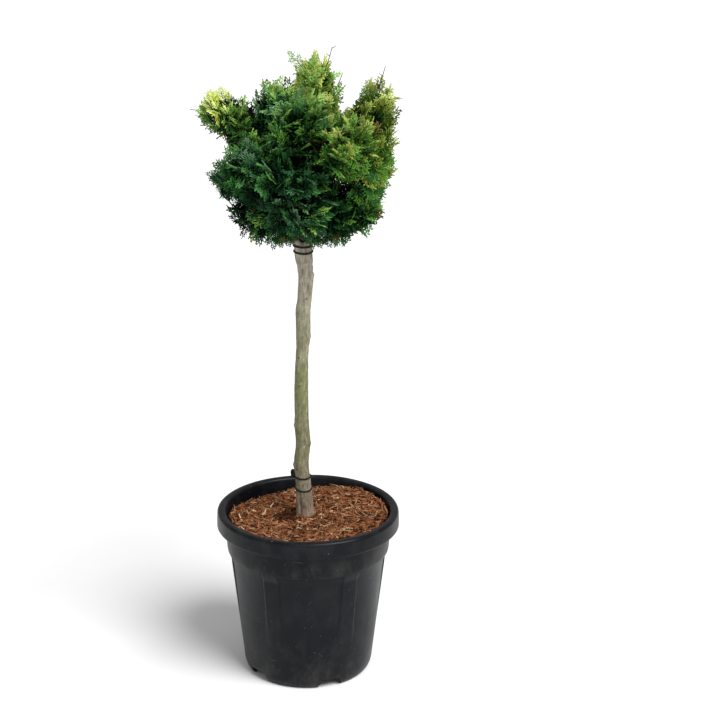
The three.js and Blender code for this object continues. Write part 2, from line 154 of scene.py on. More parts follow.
class Finish:
    """A Principled material, with short ways to add procedural nodes to it."""

    def __init__(self, name, base, roughness, specular=0.5):
        self.material = bpy.data.materials.new(name)
        self.material.use_nodes = True
        self.tree = self.material.node_tree
        self.shader = self.tree.nodes["Principled BSDF"]
        self.shader.inputs["Base Color"].default_value = base
        self.shader.inputs["Roughness"].default_value = roughness
        self.shader.inputs["Specular IOR Level"].default_value = specular
        self.material.diffuse_color = base
        self.place = None

    def feed(self, socket, value):
        """Links another node's output to a socket, or sets the socket's own value."""
        if isinstance(value, bpy.types.NodeSocket):
            self.tree.links.new(value, socket)
        else:
            socket.default_value = value

    def put(self, kind, **inputs):
        node = self.tree.nodes.new(kind)
        for name, value in inputs.items():
            self.feed(node.inputs[name], value)
        return node

    def object_place(self):
        if self.place is None:
            self.place = self.tree.nodes.new("ShaderNodeTexCoord")
        return self.place.outputs["Object"]

    def coordinates(self, scale):
        return self.put("ShaderNodeMapping", Vector=self.object_place(), Scale=scale).outputs["Vector"]

    def noise(self, scale, detail=4.0, stretch=(1, 1, 1), roughness=0.55, distortion=0.0):
        node = self.put("ShaderNodeTexNoise", Vector=self.coordinates(stretch), Scale=scale, Detail=detail,
                        Roughness=roughness, Distortion=distortion)
        return node.outputs["Fac"]

    def ramp(self, value, *stops):
        node = self.put("ShaderNodeValToRGB", Fac=value)
        bar = node.color_ramp.elements
        while len(bar) < len(stops):
            bar.new(0.5)
        for element, (at, shade) in zip(bar, stops):
            element.position = at
            element.color = shade if isinstance(shade, (list, tuple)) else [shade, shade, shade, 1.0]
        return node.outputs["Color"]

    def mix(self, amount, first, second, blend="MIX"):
        node = self.tree.nodes.new("ShaderNodeMix")
        node.data_type = "RGBA"
        node.blend_type = blend
        for number, value in ((0, amount), (6, first), (7, second)):
            self.feed(node.inputs[number], value)
        return node.outputs[2]

    def maths(self, operation, first, second=0.5):
        node = self.tree.nodes.new("ShaderNodeMath")
        node.operation = operation
        for socket, value in zip(node.inputs, (first, second)):
            self.feed(socket, value)
        return node.outputs["Value"]

    def position(self, axis):
        return self.put("ShaderNodeSeparateXYZ", Vector=self.object_place()).outputs[axis]

    def spot(self, middle, radius, strength):
        """A soft round mark at a place on the surface."""
        gap = self.tree.nodes.new("ShaderNodeVectorMath")
        gap.operation = "DISTANCE"
        for socket, value in zip(gap.inputs, (self.object_place(), middle)):
            self.feed(socket, value)
        reach = self.maths("DIVIDE", gap.outputs["Value"], radius)
        return self.ramp(reach, (0.25, strength), (0.8, 0.0))

    def paint(self, socket, value):
        self.tree.links.new(value, self.shader.inputs[socket])

    def bump(self, height, distance, strength=1.0):
        node = self.put("ShaderNodeBump", Height=height, Strength=strength, Distance=distance)
        self.paint("Normal", node.outputs["Normal"])


# ---------- meshes ----------
def add_piece(name, verts, faces, finish, replaces=(), smooth_shading=False):
    """Joins arrays of vertices and triangles or quads into one piece on the plant's body."""
    mesh = bpy.data.meshes.new(name)
    groups = faces if isinstance(faces, list) else [faces]
    corners = np.concatenate([g.ravel() for g in groups]).astype(np.int32)
    sizes = np.concatenate([np.full(len(g), g.shape[1]) for g in groups]).astype(np.int32)
    mesh.vertices.add(len(verts))
    mesh.vertices.foreach_set("co", np.ascontiguousarray(verts, np.float32).ravel())
    mesh.loops.add(len(corners))
    mesh.loops.foreach_set("vertex_index", corners)
    mesh.polygons.add(len(sizes))
    mesh.polygons.foreach_set("loop_start", (np.cumsum(sizes) - sizes).astype(np.int32))
    mesh.polygons.foreach_set("use_smooth", np.full(len(sizes), smooth_shading))
    mesh.update(calc_edges=True)
    mesh.validate()
    mesh.materials.append(finish.material)
    piece = bpy.data.objects.new(name, mesh)
    bpy.context.scene.collection.objects.link(piece)
    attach(piece, BODY)
    if replaces:
        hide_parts(*replaces)


def skin(count, sides):
    """The quads between rings of points, and the triangles that close both ends on two last points."""
    ring = np.arange(sides)
    after = (ring + 1) % sides
    low = (np.arange(count - 1) * sides)[:, None]
    quads = np.stack([low + ring, low + after, low + sides + after, low + sides + ring], -1).reshape(-1, 4)
    tip, top = count * sides, (count - 1) * sides
    caps = np.concatenate([np.stack([np.full(sides, tip), after, ring], -1),
                           np.stack([np.full(sides, tip + 1), top + ring, top + after], -1)])
    return [quads, caps]


def halved(quads):
    return np.concatenate([quads[:, [0, 1, 2]], quads[:, [0, 2, 3]]])


def as_triangles(faces):
    quads, caps = faces
    return np.concatenate([halved(quads), caps])


def loft(rings, first_tip=None, last_tip=None):
    """Skins rings of points, (rings, sides, 3), and closes both ends on a middle point."""
    tips = [rings[0].mean(0) if first_tip is None else first_tip,
            rings[-1].mean(0) if last_tip is None else last_tip]
    return np.concatenate([rings.reshape(-1, 3), tips]), skin(*rings.shape[:2])


def spokes_round(along, guide, angle):
    """Unit directions square to a line at each of its points, at some angles round it."""
    across = unit(np.cross(along, guide))[..., None, :]
    other = np.cross(along[..., None, :], across)
    return across * np.cos(angle)[:, None] + other * np.sin(angle)[:, None]


def round_angles(count):
    return np.arange(count) * 2 * np.pi / count


def angle_grid(share, angle):
    """Shares of a length and of a full turn, for every pair of the two."""
    return np.meshgrid(share, angle / (2 * np.pi), indexing="ij")


def circles(middle, radius, angle, height):
    """Rings of points about middles, with a radius, an angle and a height for each point."""
    return np.stack([middle[..., 0] + radius * np.cos(angle), middle[..., 1] + radius * np.sin(angle),
                     np.broadcast_to(height, radius.shape)], -1)


def copies(faces, count, step):
    """The same faces for count equal meshes of step vertices each."""
    return (faces[None] + step * np.arange(count)[:, None, None]).reshape(-1, 3)


def tubes(paths, radii, sides):
    """Closed tapering tubes along many paths at once, (tubes, points, 3), as triangles."""
    count, points = paths.shape[:2]
    chord = unit(paths[:, -1] - paths[:, 0])
    guide = np.where(np.abs(chord[:, 2:3]) < 0.8, [[0.0, 0.0, 1.0]], [[1.0, 0.0, 0.0]])[:, None]
    spokes = spokes_round(unit(np.gradient(paths, axis=1)), guide, round_angles(sides))
    rings = paths[:, :, None] + spokes * radii[:, :, None, None]
    verts = np.concatenate([rings.reshape(count, -1, 3), paths[:, :1], paths[:, -1:]], 1)
    return verts.reshape(-1, 3), copies(as_triangles(skin(points, sides)), count, points * sides + 2)


def join(parts):
    """One array of vertices and one of triangles from several."""
    offsets = np.cumsum([0] + [len(v) for v, _ in parts[:-1]])
    return (np.concatenate([v for v, _ in parts]),
            np.concatenate([f + o for (_, f), o in zip(parts, offsets)]))


def bezier(p0, p1, p2, points):
    t = np.linspace(0, 1, points)[:, None]
    return (1 - t) ** 2 * p0 + 2 * t * (1 - t) * p1 + t ** 2 * p2


# ---------- trunk and boughs ----------
def trunk_section():
    """The CAD trunk's rings: heights, centres, and radii round the front in order of angle."""
    points = vertices_of("trunk")
    heights = np.unique(np.round(points[:, 2], 4))
    centres, turns, radii = [], [], []
    for z in heights:
        ring = points[np.abs(points[:, 2] - z) < 0.1 * MM]
        ring = ring[np.unique(np.round(ring[:, :2], 5), axis=0, return_index=True)[1]]
        if len(ring) < 8:
            continue
        far = ring[np.linalg.norm(ring[:, :2] - ring[:, :2].mean(0), axis=1) > 3 * MM]
        centre = far[:, :2].mean(0)
        out = far[:, :2] - centre
        angle = np.arctan2(out[:, 1], out[:, 0])
        order = np.argsort(angle)
        centres.append([*centre, z])
        turns.append(angle[order])
        radii.append(np.linalg.norm(out, axis=1)[order])
    return np.array(centres), turns, radii


SECTION = trunk_section()


def trunk_centre(z):
    centres = SECTION[0]
    return np.stack([np.interp(z, centres[:, 2], centres[:, axis]) for axis in (0, 1)], -1)


def centre_at(z):
    return trunk_centre(np.array([z]))[0]


def trunk_radius(z, angle):
    """Radius of the CAD trunk at heights z (n,) and angles (m,), as (n, m)."""
    centres, turns, radii = SECTION
    rows = np.array([np.interp(angle, t, r, period=2 * np.pi) for t, r in zip(turns, radii)])
    at = np.interp(z, centres[:, 2], np.arange(len(centres)))
    low = np.clip(np.floor(at).astype(int), 0, len(rows) - 2)
    share = smooth(at - low, 0, 1)[:, None]
    return rows[low] * (1 - share) + rows[low + 1] * share


GRAFT = FORK - 45 * MM
# Pruning scars on the front of the stem: height above the mulch, degrees round from the front, and size.
SCARS = [(0.186, 52, 2.4), (0.237, -14, 2.6), (0.286, -30, 2.4), (0.389, 18, 1.5)]


def radius_at(z, angle):
    return trunk_radius(np.array([z]), np.array([angle]))[0, 0]


def scar_place(up, turn):
    z = SOIL_TOP + up
    middle = centre_at(z)
    angle = math.radians(turn - 90)
    radius = radius_at(z, angle % (2 * np.pi))
    return (middle[0] + radius * math.cos(angle), middle[1] + radius * math.sin(angle), z)


SCAR_PLACES = [scar_place(up, turn) for up, turn, _ in SCARS]


def bark_relief(turn, along, length, girth, depth, seed):
    """Height of the bark: soft waves, upright plates with cracks between them, fibres and pores."""
    cells = max(3, int(girth / (3.2 * MM)))
    waves = lattice_noise(turn, along, 3, max(2, int(length / 0.03)), seed)
    plates = lattice_noise(turn, along, cells, max(3, int(length / 0.012)), seed + 1)
    fibres = lattice_noise(turn, along, cells * 3, max(4, int(length / 0.006)), seed + 2)
    pores = lattice_noise(turn, along, cells * 2, max(5, int(length / 0.0022)), seed + 3)
    cracks = -np.maximum(0, 0.35 - np.abs(plates)) * 1.2
    return depth * (0.5 * waves + cracks + 0.35 * fibres + 0.5 * np.maximum(0, pores - 0.5) * 2)


def trunk_mesh():
    z = np.linspace(SOIL_TOP, FORK, TRUNK_RINGS)
    angle = round_angles(TRUNK_SIDES)
    share, turn = angle_grid((z - SOIL_TOP) / (FORK - SOIL_TOP), angle)
    radius = trunk_radius(z, angle)
    radius = radius + bark_relief(turn, share, FORK - SOIL_TOP, 2 * np.pi * STEM_RADIUS, 0.55 * MM, 7)
    up = (z - SOIL_TOP)[:, None]
    front_left = math.radians(208)  # a buttress of the foot, with a groove between it and the bole
    away = np.arctan2(np.sin(angle - front_left), np.cos(angle - front_left))[None]
    fade = np.exp(-(up / 0.036) ** 2)
    ridge = 2.4 * MM * np.exp(-(away / 0.3) ** 2)
    groove = 2.2 * MM * np.exp(-((away - 0.55) / 0.14) ** 2)
    radius = radius + fade * (ridge - groove)
    for height, direction, size in SCARS:
        aside = (angle - math.radians(direction - 90) + np.pi) % (2 * np.pi) - np.pi
        gap = np.hypot(aside[None] * STEM_RADIUS, (up - height) * 0.8) / (size * MM)
        radius = radius + 1.1 * MM * np.exp(-((gap - 1) / 0.45) ** 2) - 0.9 * MM * np.exp(-((gap / 0.6) ** 2))
    # The bark round the graft is puckered.
    graft = np.exp(-(((z - GRAFT) / 0.012) ** 2))[:, None]
    radius = radius + graft * 0.9 * MM * lattice_noise(turn, share, 9, 120, 12)
    return loft(circles(trunk_centre(z)[:, None], radius, angle, z[:, None]))


def bough_line(node, points=26):
    """The middle line of a CAD bough from the fork to its tip, and its radius along that line."""
    co = vertices_of(node)
    start = np.array([*centre_at(FORK), FORK - 10 * MM])
    reach = np.linalg.norm(co - start, axis=1)
    end_ring = co[reach > reach.max() - 2.5 * MM]
    tip = end_ring.mean(0)
    radius = np.linalg.norm(end_ring - tip, axis=1).max()
    flat = np.array([*(tip - start)[:2], 0.0])
    bend = start + 0.6 * flat + np.array([0, 0, 0.35 * (tip - start)[2]])
    return bezier(start, bend, tip, points), np.linspace(radius / 0.62, radius, points)


def bough_mesh(node, seed, sides=20):
    line, radii = bough_line(node)
    along = unit(np.gradient(line, axis=0))
    guide = np.array([0.0, 0.0, 1.0]) if abs(along[:, 2]).max() < 0.95 else np.array([1.0, 0.0, 0.0])
    angle = round_angles(sides)
    share, turn = angle_grid(np.linspace(0, 1, len(line)), angle)
    radius = radii[:, None] + bark_relief(turn, share, 0.07, 0.03, 0.4 * MM, seed)
    return loft(line[:, None] + spokes_round(along, guide, angle) * radius[..., None])


def bark_finish():
    bark = Finish("bark", colour(132, 124, 106), 0.82, 0.2)
    above_soil = bark.maths("SUBTRACT", bark.position("Z"), SOIL_TOP)
    up = bark.maths("MULTIPLY", above_soil, 1 / (FORK - SOIL_TOP))
    body = bark.ramp(up, (0.0, colour(136, 116, 100)), (0.1, colour(122, 114, 96)),
                     (0.3, colour(116, 114, 88)), (0.55, colour(128, 126, 100)),
                     (0.78, colour(146, 140, 122)), (1.0, colour(156, 148, 134)))
    blotches = bark.ramp(bark.noise(150, 7, (1, 1, 0.5), 0.65), (0.34, 0.58), (0.5, 0.98), (0.66, 1.34))
    body = bark.mix(1.0, body, blotches, "MULTIPLY")
    grain = bark.ramp(bark.noise(520, 4, (1, 1, 0.12)), (0.36, 0.72), (0.62, 1.16))
    body = bark.mix(1.0, body, grain, "MULTIPLY")
    algae = bark.ramp(bark.noise(60, 6, (1, 1, 0.5), 0.65), (0.45, 0.0), (0.62, 0.7))
    to_left = bark.ramp(bark.maths("MULTIPLY_ADD", bark.position("X"), -40.0), (0.1, 0.0), (0.75, 1.0))
    middle = bark.ramp(up, (0.12, 0.1), (0.3, 1.0), (0.6, 0.8), (0.85, 0.15))
    green = bark.maths("MULTIPLY", algae, bark.maths("MULTIPLY", to_left, middle))
    body = bark.mix(green, body, colour(98, 106, 54))
    specks = bark.ramp(bark.noise(400, 3, (1, 1, 0.6), 0.6), (0.6, 0.0), (0.67, 0.8))
    low_down = bark.ramp(up, (0.1, 1.0), (0.6, 0.3))
    body = bark.mix(bark.maths("MULTIPLY", specks, low_down), body, colour(62, 50, 40))
    pale = bark.ramp(bark.noise(240, 4, (1, 1, 0.8), 0.6), (0.6, 0.0), (0.72, 0.5))
    body = bark.mix(pale, body, colour(190, 182, 168))
    for scar in SCAR_PLACES:
        body = bark.mix(bark.spot(scar, 3.0 * MM, 0.75), body, colour(58, 48, 36))
    # Painted shade: the bark darkens from just under the fork up over the boughs, where the crown shades it.
    crown_shade = bark.ramp(bark.position("Z"), (FORK - 6 * MM, 0.0), (FORK + 12 * MM, 0.9))
    body = bark.mix(crown_shade, body, colour(46, 40, 28))
    bark.paint("Base Color", body)
    bark.bump(bark.noise(700, 6, (1, 1, 0.4)), 0.5 * MM, 0.8)
    return bark


BOUGH_LINES = {node: bough_line(node)[0] for node in BOUGHS}


def add_limbs():
    meshes = [trunk_mesh()] + [bough_mesh(node, 30 + 5 * number) for number, node in enumerate(BOUGHS)]
    verts, faces = join([(verts, as_triangles(faces)) for verts, faces in meshes])
    add_piece("bark_limbs", verts, faces, bark_finish(), ["trunk", *BOUGHS], smooth_shading=True)


add_limbs()


# ---------- foliage ----------
# Shades of each kind of spray, from the shaded inside to the lit tips.
PALETTES = {
    "pine": [(3, 18, 8), (16, 48, 27), (38, 78, 48), (74, 116, 80), (120, 160, 122)],
    "green": [(3, 20, 6), (18, 54, 22), (43, 93, 42), (82, 134, 72), (130, 180, 110)],
    "fresh": [(10, 28, 5), (38, 76, 22), (82, 128, 46), (126, 170, 76), (172, 208, 114)],
    "olive": [(18, 28, 5), (60, 82, 22), (112, 134, 48), (158, 176, 84), (198, 210, 122)],
    "lime": [(46, 68, 10), (100, 130, 32), (158, 182, 64), (202, 216, 104), (228, 236, 156)],
    "bronze": [(28, 26, 8), (78, 74, 30), (122, 114, 62), (156, 148, 92), (184, 178, 124)],
}
PALETTE_SLOT = {"pine": "foliage_green", "green": "foliage_green", "fresh": "foliage_green",
                "olive": "foliage_olive", "lime": "foliage_lime", "bronze": "foliage_olive"}
PALETTE_NAMES = list(PALETTES)
SHADES = 5


def fan_template(seed):
    """One flat spray, one unit long, along X with its face to Z: a midrib with side shoots left and right by
    turns, and short shoots on those. Returns each shoot's foot, tip, width and how near the edge it is."""
    draw = np.random.default_rng(seed)
    shoots = [((0, 0), (0.55, 0.0), 1.25, 0.0), ((0.5, 0.0), (1.02, draw.normal(0, 0.02)), 1.15, 0.8)]
    nodes = 8
    for k in range(nodes):
        at = 0.06 + 0.8 * k / (nodes - 1)
        side = 1 if k % 2 else -1
        turn = side * math.radians(draw.normal(38, 4) * (1 - 0.25 * at))
        length = (0.58 * (1 - at) ** 0.75 + 0.16) * draw.uniform(0.82, 1.12)
        foot = np.array([at, 0.0])
        run = np.array([math.cos(turn), math.sin(turn)])
        tip = foot + length * run
        shoots.append((foot, tip, 1.0, 0.5 + 0.5 * at))
        count = max(1, round(length / 0.23))
        for j in range(count):
            along = (j + 0.6) / (count + 0.4)
            lean = turn + (1 if (j + k) % 2 else -1) * math.radians(draw.normal(33, 5))
            short = draw.uniform(0.2, 0.32) * (1 - 0.3 * along)
            start = foot + along * length * run
            shoots.append((start, start + short * np.array([math.cos(lean), math.sin(lean)]), 0.9,
                           0.35 + 0.65 * along))
    feet, tips, widths, edge = (np.array(part, float) for part in zip(*shoots))
    return feet, tips, widths, np.clip(edge, 0, 1)


def shoot_mesh(feet, tips, widths):
    """A slim blade with a raised middle for each shoot, (shoots, 5, 3), in the fan's own frame."""
    run = tips - feet
    across = unit(np.stack([-run[:, 1], run[:, 0]], -1)) * widths[:, None] * SHOOT_WIDTH / 2
    belly = feet + 0.56 * run
    flat = np.zeros((len(feet), 5, 3))
    flat[:, 0, :2] = feet
    flat[:, 1, :2] = belly + across
    flat[:, 2, :2] = belly - across
    flat[:, 3, :2] = belly
    flat[:, 4, :2] = tips
    flat[:, 3, 2] = widths * SHOOT_WIDTH * 0.42
    flat[:, 1:3, 2] = -widths[:, None] * SHOOT_WIDTH * 0.1
    return flat


SHOOT_FACES = np.array([[0, 3, 1], [0, 2, 3], [4, 1, 3], [4, 3, 2]])
TEMPLATES = [fan_template(100 + kind) for kind in range(FAN_KINDS)]
BLADES = [shoot_mesh(*template[:3]) for template in TEMPLATES]
CROWN = tree_of(MASSES)


def inside_crown(point):
    """Whether a point is inside a mass, from how many faces lie above it."""
    start, crossings = Vector(point), 0
    while True:
        hit = CROWN.ray_cast(start, Vector((0, 0, 1)))[0]
        if hit is None:
            return crossings % 2 == 1
        crossings += 1
        start = hit + Vector((0, 0, 0.02 * MM))


def standing_out(point):
    """How far a point is outside the crown's outline, or 0 inside it."""
    return 0.0 if inside_crown(point) else CROWN.find_nearest(Vector(point))[3]


def surface_sites(node, taken):
    """Points spread over the part of a mass's surface that faces the air, with the way out from each."""
    verts, faces = vertices_of(node), triangles_of(node)
    a, b, c = (verts[faces[:, i]] for i in range(3))
    normal = np.cross(b - a, c - a)
    area = np.linalg.norm(normal, axis=1) / 2
    count = int(area.sum() / (SPRIG_SPACING ** 2) * 9)
    pick = rng.choice(len(faces), count, p=area / area.sum())
    u, v = rng.random((2, count))
    fold = u + v > 1
    u[fold], v[fold] = 1 - u[fold], 1 - v[fold]
    points = a[pick] + u[:, None] * (b - a)[pick] + v[:, None] * (c - a)[pick]
    outs = unit(normal)[pick]
    others = tree_of([other for other in MASSES if other != node])
    trunk_axis = centre_at(FORK)
    sites = []
    for point, out in zip(points, outs):
        if others.find_nearest(Vector(point), 2.5 * MM)[0] is not None:
            continue
        beside = np.linalg.norm(point[:2] - trunk_axis)
        if beside < RECESS and point[2] < FORK + 60 * MM:
            continue
        if taken and np.min(np.linalg.norm(np.array(taken) - point, axis=1)) < SPRIG_SPACING:
            continue
        taken.append(point)
        sites.append((point, out))
    return sites


def level(z):
    """Height in the crown, from 0 at its underside to 1 at its top."""
    return (z - CROWN_LOW.z) / (CROWN_HIGH.z - CROWN_LOW.z)


WAVES = np.random.default_rng(5).normal(0, 1, (6, 3))


def patchiness(point):
    """Slow changes from -1 to 1 through the crown, a few centimetres across."""
    return float(np.sin(WAVES @ point / 0.019 + np.arange(6) * 1.7).sum() / 3.2)


def in_box(node, across, up, deep=0.5):
    """A place in a mass's box, as shares of its width, height and depth."""
    low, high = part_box(node)
    return np.array([low.x + across * (high.x - low.x), low.y + deep * (high.y - low.y),
                     low.z + up * (high.z - low.z)])


# Where sprays stand in the light or in the shade of others: middle, reach, and change of tone.
LIT_PLACES = [
    (in_box("foliage_front_mid", 0.6, 0.8, 0.1), 48 * MM, -0.3),
    (in_box("foliage_low_right", 0.45, 0.8, 0.0), 36 * MM, -0.24),
    (in_box("foliage_left_horn", 0.75, 0.3, 0.2), 32 * MM, -0.16),
    (in_box("foliage_right_flank", 0.6, 0.7, 0.2), 34 * MM, -0.16),
    (in_box("foliage_centre_peak", 0.5, 0.5, 0.2), 46 * MM, 0.2),
    (in_box("foliage_front_right", 0.6, 0.6, 0.0), 30 * MM, 0.16),
    (in_box("foliage_low_front", 0.5, 0.3, 0.0), 44 * MM, 0.1),
    (in_box("foliage_left_horn", 0.2, 0.8, 0.3), 36 * MM, 0.1),
]


def light_at(point):
    """How much lighter or darker than the rest of the crown a place is."""
    return sum(tone * math.exp(-(np.linalg.norm(point - middle) / reach) ** 2)
               for middle, reach, tone in LIT_PLACES)


def warmth(node, point):
    """How yellow the sprays of a sprig are, from 0, a deep bluish green, to about 1, lime."""
    high = level(point[2])
    right = smooth(point[0], -0.03, 0.12)
    yellow = 0.16 + 0.22 * high + 0.26 * right * (0.5 + 0.5 * high) + 0.1 * patchiness(point)
    if SLOT_OF[node] == "foliage_lime":
        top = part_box(node)[1]
        outer = smooth(high, level(top.z) - 0.2, level(top.z))
        leftness = 0.1 if top.x > 0 else smooth(-point[0], 0.1, 0.15)
        yellow += 0.6 * outer * (0.15 + 0.85 * leftness)
    if SLOT_OF[node] == "foliage_olive":
        yellow += 0.08
    if node == "foliage_centre_peak":
        yellow += 0.14
    return yellow


def fan_palette(yellow, right):
    """A fan's palette from its warmth. On the right of the crown the yellow is more olive."""
    yellow = yellow + rng.normal(0, 0.07)
    if rng.random() < 0.012 * right:
        return "bronze"
    if yellow < 0.24:
        return "pine"
    if yellow < 0.40:
        return "green"
    if yellow < 0.56:
        return "fresh"
    if yellow < 0.78:
        return "olive" if rng.random() < 0.35 + 0.6 * right else "fresh"
    return "lime"


Fan = namedtuple("Fan", "kind origin along side face length palette tone")


class Sprays:
    """Collects fans and twigs, and turns them into joined pieces."""

    def __init__(self):
        self.fans = []
        self.twigs = []
        self.limb_points = None

    def fan(self, origin, along, face, length, palette, tone, room=MOST_PROUD):
        """Adds a fan, shortened where its tip would pass the outline by more than room."""
        proud = standing_out(origin + along * length)
        if proud > room:
            length -= proud - room
        if length < 0.4 * FAN_LENGTH:
            return
        side = np.cross(face, along)
        side /= np.linalg.norm(side)
        kind = rng.integers(FAN_KINDS)
        self.fans.append(Fan(kind, origin, along, side, np.cross(along, side), length, palette, tone))

    def twig(self, start, bend, end, radii):
        self.twigs.append((bezier(start, bend, end, TWIG_POINTS), *radii))

    def join(self, foot):
        """A twig from the nearest point of a branch to where a sprig or fan starts."""
        start = self.limb_points[np.argmin(np.linalg.norm(self.limb_points - foot, axis=1))]
        self.twig(start, (start + foot) / 2, foot, LINK)

    def sprig(self, tip, along, face, length, yellow, tone):
        """A twig that ends at tip, with fans left and right of it by turns and one on its end."""
        side = np.cross(face, along)
        curl = rng.normal(0.06, 0.05)
        foot = tip - along * (length + 0.72 * FAN_LENGTH)
        right = smooth(tip[0], -0.02, 0.1)
        for k in range(FANS_ON_SPRIG + 1):
            share = 0.18 + 0.82 * k / FANS_ON_SPRIG
            point = foot + along * length * share + face * curl * length * share ** 2
            last = k == FANS_ON_SPRIG
            turn = 0.0 if last else (1 if k % 2 else -1) * math.radians(rng.normal(46 - 16 * share, 7))
            lift = 2 * curl * share + rng.normal(0, 0.14)
            way = along * math.cos(turn) + side * math.sin(turn) + face * lift
            way /= np.linalg.norm(way)
            tilt = face + rng.normal(0, 0.17, 3) - 0.18 * np.sign(turn) * side
            size = FAN_LENGTH * rng.uniform(0.82, 1.12) * (0.8 if last else 1.08 - 0.42 * share)
            # Painted shade: fans nearer the foot of the sprig, deeper in the crown, take darker shades.
            shade = tone - 0.34 * (1 - share) + rng.normal(0, 0.07)
            palette = fan_palette(yellow + 0.12 * (share - 0.6), right)
            self.fan(point, way, tilt, size, palette, shade)
        bend = foot + along * length * 0.5
        self.twig(foot, bend, foot + along * length + face * curl * length, STALK)
        return foot

    def shoots(self):
        """Every shoot of every fan: its vertices, palette and shade."""
        verts, palettes, shades = [], [], []
        for kind in range(FAN_KINDS):
            fans = [fan for fan in self.fans if fan.kind == kind]
            if not fans:
                continue
            blades, edge = BLADES[kind], TEMPLATES[kind][3]
            origin, along, side, face = (np.array(part) for part in list(zip(*fans))[1:5])
            length = np.array([fan.length for fan in fans])[:, None, None, None]
            cup = rng.normal(0.1, 0.22, (len(fans), 1, 1))
            sag = rng.normal(0.05, 0.16, (len(fans), 1, 1))
            local = np.repeat(blades[None], len(fans), 0)
            local[..., 2] += -cup * local[..., 1] ** 2 * 1.6 - sag * local[..., 0] ** 2
            placed = (local[..., :1] * along[:, None, None] + local[..., 1:2] * side[:, None, None]
                      + local[..., 2:3] * face[:, None, None]) * length + origin[:, None, None]
            # Shoots nearer a fan's edge take lighter shades: partly the paler new growth at the tips, partly
            # painted light on the outer shoots.
            tone = np.array([fan.tone for fan in fans])[:, None] + 0.42 * (edge[None] - 0.62)
            tone = tone + rng.normal(0, 0.035, tone.shape)
            verts.append(placed.reshape(-1, 5, 3))
            palettes.append(np.repeat([PALETTE_NAMES.index(fan.palette) for fan in fans], len(edge)))
            shades.append(np.clip(np.floor(tone * SHADES), 0, SHADES - 1).astype(int).ravel())
        return np.concatenate(verts), np.concatenate(palettes), np.concatenate(shades)


def leaf_finish(palette, shade):
    name = f"leaf_{palette}_{shade + 1}"
    return Finish(name, colour(*PALETTES[palette][shade]), 0.6, 0.08)


def add_leaves(sprays):
    verts, palettes, shades = sprays.shoots()
    for number, palette in enumerate(PALETTE_NAMES):
        slot = PALETTE_SLOT[palette]
        stands_for = [n for n in MASSES if SLOT_OF[n] == slot]
        for shade in range(SHADES):
            chosen = verts[(palettes == number) & (shades == shade)]
            if not len(chosen):
                continue
            finish = leaf_finish(palette, shade)
            most = MOST_FACES // len(SHOOT_FACES)
            for part, first in enumerate(range(0, len(chosen), most)):
                block = chosen[first:first + most]
                faces = copies(SHOOT_FACES, len(block), 5)
                name = f"sprays_{palette}_{shade + 1}" + (f"_{part + 1}" if part else "")
                add_piece(name, block.reshape(-1, 3), faces, finish, stands_for)


def bough_for(hub):
    """The bough whose tip is nearest to a mass; one that points away from it counts as further off."""
    def cost(bough):
        line = BOUGH_LINES[bough]
        points_away = np.dot(unit(line[-1] - line[0]), hub - HEART) < 0
        return np.linalg.norm(line[-1] - hub) + 0.4 * abs(points_away)
    return min(BOUGHS, key=cost)


def grow_crown(sprays):
    """Boughs branch to each mass, branches to clusters in it, and twigs to the sprigs at its surface."""
    taken = []
    branches = []
    for node in sorted(MASSES, key=lambda n: n == "foliage_heart"):
        low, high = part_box(node)
        hub = np.array((low + high) / 2)
        line = BOUGH_LINES[bough_for(hub)]
        hub = hub * 0.75 + line[-1] * 0.25
        grown = unit(line[-1] - line[-4])
        reach = np.linalg.norm(hub - line[-1])
        branch = bezier(line[-1] - grown * 2 * MM, line[-1] + grown * 0.45 * reach, hub, BRANCH_POINTS)
        branches.append((branch, *BRANCH))
        clusters = {}
        for point, out in surface_sites(node, taken):
            sprig_foot = place_sprig(sprays, node, point, out)
            key = int(np.argmin([np.linalg.norm(sprig_foot - branch[i]) for i in BRANCH_NODES]))
            side = np.sign(np.round((sprig_foot - hub) / 0.02)).astype(int)
            clusters.setdefault((key, *side), []).append(sprig_foot)
        for (key, *_), feet in clusters.items():
            start = branch[BRANCH_NODES[key]]
            middle = start * 0.4 + np.mean(feet, 0) * 0.6
            bend = start * 0.6 + middle * 0.4 + [0, 0, 2 * MM]
            branches.append((bezier(start, bend, middle, BRANCH_POINTS), *SMALL_BRANCH))
            for foot in feet:
                sprays.twig(middle, (middle + foot) / 2 + rng.normal(0, 2 * MM, 3), foot, TWIG)
    sprays.limb_points = np.concatenate([branch[0] for branch in branches])
    return branches


def place_sprig(sprays, node, point, out):
    """A sprig whose tip lies at a place on a mass, leaning outwards and up; returns its foot."""
    away = unit(point - HEART)
    drift = rng.normal(0, 1, 3)
    drift -= out * np.dot(drift, out)
    lift = 0.55 if out[2] > -0.25 else 0.12
    along = unit(0.62 * out + 0.25 * away + lift * np.array([0, 0, 1.0]) + 0.42 * unit(drift))
    steep = np.dot(along, out)
    if steep < LEAST_OUTWARD:
        along = unit(along + out * (LEAST_OUTWARD - steep) * 1.6)
    lay = 0.6 * out + np.array([0, 0, 0.75]) + rng.normal(0, 0.32, 3)
    face = lay - along * np.dot(lay, along)
    if np.linalg.norm(face) < 0.1:
        face = np.cross(along, [1.0, 0, 0])
    # Painted light and shade: sprigs higher in the crown and facing more upward take lighter shades, and the
    # lit and shaded places shift them further; the rest is random.
    tone = 0.57 + 0.12 * (level(point[2]) - 0.5) + 0.1 * out[2] + rng.normal(0, 0.1) + light_at(point)
    tip = point + out * rng.normal(0.0, 3.0) * MM
    length = SPRIG_LENGTH * rng.uniform(0.8, 1.15)
    for _ in range(3):
        if inside_crown(tip - along * (length + 0.7 * FAN_LENGTH)):
            break
        length *= 0.8
        along = unit(along + 0.8 * out)
    face = unit(face - along * np.dot(face, along))
    return sprays.sprig(tip, along, face, length, warmth(node, point), tone)


